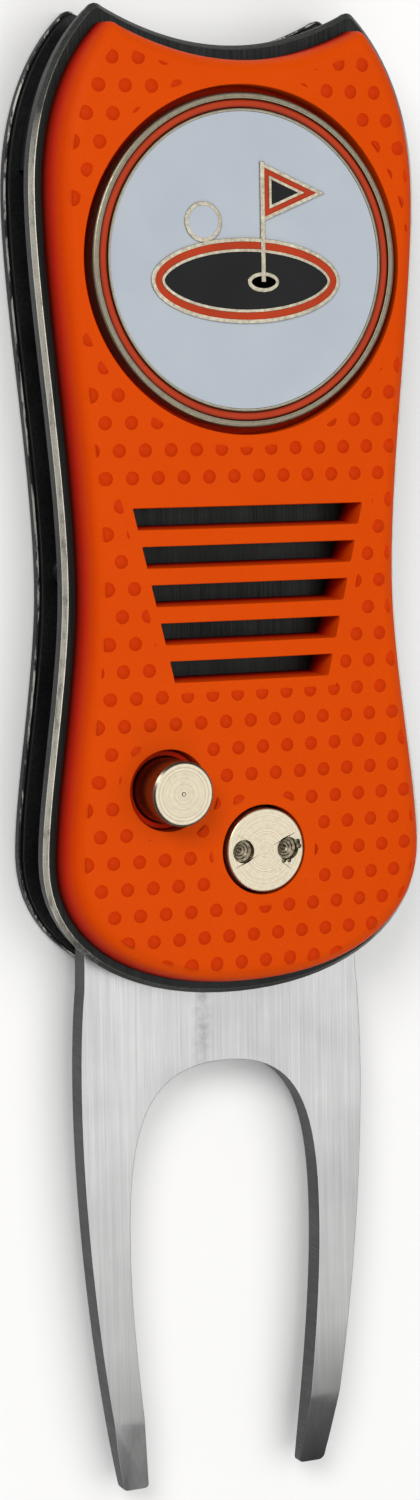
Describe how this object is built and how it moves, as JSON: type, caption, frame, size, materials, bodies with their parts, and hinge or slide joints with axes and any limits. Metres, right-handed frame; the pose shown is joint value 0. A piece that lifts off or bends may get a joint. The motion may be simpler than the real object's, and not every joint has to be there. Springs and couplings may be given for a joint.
{
  "type": "divot repair tool",
  "caption": "Folding golf divot tool: pronged steel fork between metal plates, textured grip shell, lock button and lift-off magnetic ball marker.",
  "frame": {"origin": "centre of the open tool's bounding box, at the level of its flat back", "axes": "+X across the width to the right seen from the front, +Y along the length to the horned end, +Z through the thickness to the front shell"},
  "size_m": [0.0322, 0.115, 0.0125],
  "materials": {
    "grip_shell": "moulded, fine raised dots",
    "black_plate": "black coated, brushed, bare bevels",
    "liner_plate": "dark brushed",
    "fork_steel": "brushed lengthwise",
    "turned_steel": "turned, fine rings",
    "spring_steel": "drawn wire",
    "bronze_washer": "lapped",
    "coin_nickel": "antique plated, worn edge",
    "white_enamel": "hard gloss enamel",
    "orange_enamel": "hard gloss enamel"
  },
  "bodies": {
    "handle": {"rear_frame": "black_plate", "rear_liner": "liner_plate", "front_liner": "liner_plate", "front_frame": "black_plate", "front_shell": "grip_shell", "top_spacer": "black_plate", "rear_washer": "bronze_washer", "front_washer": "bronze_washer", "pivot_barrel": "turned_steel", "pivot_screw": "turned_steel", "opening_spring": "spring_steel", "button_bush": "black_plate", "button_spring": "spring_steel", "marker_magnet": "coin_nickel", "stop_pin": "turned_steel", "shell_screw_upper_left": "black_plate", "shell_screw_upper_right": "black_plate", "shell_screw_lower_right": "black_plate", "shell_screw_lower_left": "black_plate", "top_screw_left": "black_plate", "top_screw_right": "black_plate", "side_pillar_lower": "black_plate", "side_pillar_upper": "black_plate", "pillar_screw_lower": "black_plate", "pillar_screw_upper": "black_plate"},
    "fork": {"fork": "fork_steel"},
    "button": {"release_button": "turned_steel"},
    "marker": {"marker_coin": "coin_nickel", "marker_enamel_ring": "orange_enamel", "marker_enamel_field": "white_enamel"}
  },
  "joints": [
    {"name": "fork_fold", "type": "hinge", "parent": "handle", "child": "fork", "pos_m": [0.00069, -0.00627, 0.00315], "axis": [0, 0, 1], "range_deg": [0, 180], "stiffness_Nm_per_rad": 0.02},
    {"name": "button_press", "type": "slide", "parent": "handle", "child": "button", "axis": [0, 0, -1], "range_m": [0, 0.0015], "stiffness_N_per_m": 2000, "deforming": ["button_spring"]},
    {"name": "marker_lift", "type": "slide", "parent": "handle", "child": "marker", "axis": [0, 0, 1], "range_m": [0, 0.015]}
  ]
}
